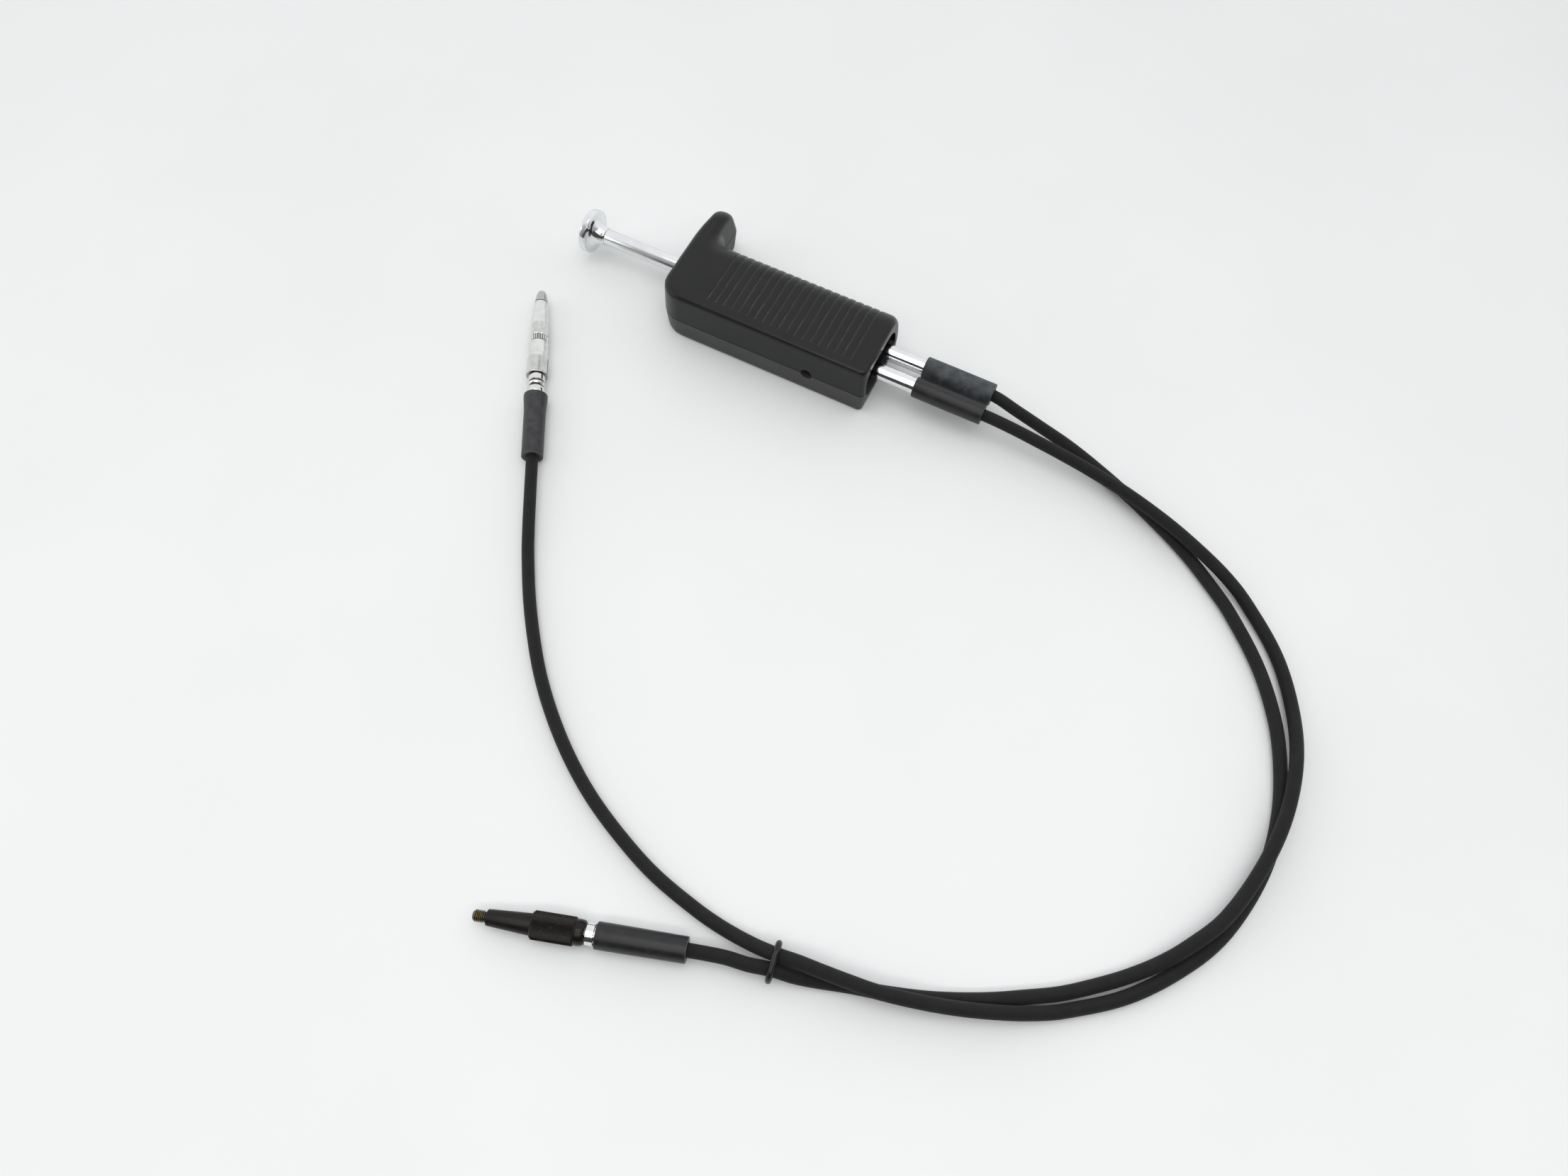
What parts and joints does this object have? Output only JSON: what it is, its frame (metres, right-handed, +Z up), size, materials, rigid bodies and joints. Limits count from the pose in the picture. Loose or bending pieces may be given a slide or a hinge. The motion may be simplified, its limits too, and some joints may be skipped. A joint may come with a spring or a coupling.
{
  "type": "cable shutter release",
  "caption": "Hand-held camera release: a ribbed, hooked grip whose sprung thumb plunger pushes wires through braided cables, out of the tips of screw-in and plug-in connectors.",
  "frame": {"origin": "on the surface that the release lies on, under the middle of the box round the grip with its plunger, hook and cable sleeves", "axes": "+X along the grip from the thumb button to the cables, +Y across the grip towards the tip of the finger hook, +Z up from the surface"},
  "size_m": [0.278, 0.2349, 0.02],
  "materials": {
    "grip_plastic": "black moulded plastic, half matt",
    "chrome": "bright chrome plate",
    "satin_silver": "satin chrome plate",
    "steel": "bare steel",
    "brass": "turned brass",
    "blacked_brass": "black finish, worn at the thread",
    "rubber": "black rubber",
    "braid": "black textile braid"
  },
  "bodies": {
    "grip": {"grip_upper_shell": "grip_plastic", "grip_lower_shell": "grip_plastic", "shell_screw_front": "steel", "shell_screw_rear": "steel", "rod_guide_bush": "brass", "return_spring": "steel", "spring_seat": "steel", "tube_clamp": "brass", "timing_set_screw": "steel", "guide_tube_silver": "chrome", "guide_tube_black": "chrome", "grip_sleeve_silver": "rubber", "grip_sleeve_black": "rubber", "cable_jacket_silver": "braid", "cable_jacket_black": "braid", "cable_conduit_silver": "steel", "cable_conduit_black": "steel", "inner_wire_silver": "steel", "inner_wire_black": "steel", "cable_ring": "rubber", "silver_sleeve": "rubber", "silver_ferrule": "chrome", "black_sleeve": "rubber", "black_ferrule": "chrome"},
    "plunger": {"thumb_button": "chrome", "plunger_rod": "chrome", "rod_stop_clip": "steel", "crosshead": "brass", "push_pin_silver": "steel", "push_pin_black": "steel"},
    "silver_pin": {"silver_release_pin": "steel"},
    "black_pin": {"black_release_pin": "steel"},
    "silver_adjuster": {"silver_barrel": "satin_silver"},
    "silver_end": {"silver_nose": "satin_silver"},
    "black_end": {"black_nose": "blacked_brass"}
  },
  "joints": [
    {"name": "plunger_slide", "type": "slide", "parent": "grip", "child": "plunger", "axis": [1, 0, 0], "range_m": [0, 0.011], "stiffness_N_per_m": 300, "springref_m": -0.006, "deforming": ["return_spring"]},
    {"name": "silver_pin_slide", "type": "slide", "parent": "grip", "child": "silver_pin", "axis": [-0.4879, 0.8729, 0], "range_m": [0, 0.011]},
    {"name": "black_pin_slide", "type": "slide", "parent": "grip", "child": "black_pin", "axis": [-0.9516, -0.3074, 0], "range_m": [0, 0.011]},
    {"name": "silver_adjuster_turn", "type": "hinge", "parent": "grip", "child": "silver_adjuster", "pos_m": [-0.04645, -0.08635, 0.00385], "axis": [-0.4879, 0.8729, 0], "range_deg": [-180, 180]},
    {"name": "silver_end_turn", "type": "hinge", "parent": "grip", "child": "silver_end", "pos_m": [-0.04645, -0.08635, 0.00385], "axis": [-0.4879, 0.8729, 0], "continuous": true},
    {"name": "black_end_turn", "type": "hinge", "parent": "grip", "child": "black_end", "pos_m": [0.06845, -0.19395, 0.00375], "axis": [-0.9516, -0.3074, 0], "continuous": true}
  ],
  "couplings": [
    {"joint": "silver_pin_slide", "follows": "plunger_slide", "ratio": 1},
    {"joint": "black_pin_slide", "follows": "plunger_slide", "ratio": 1}
  ]
}
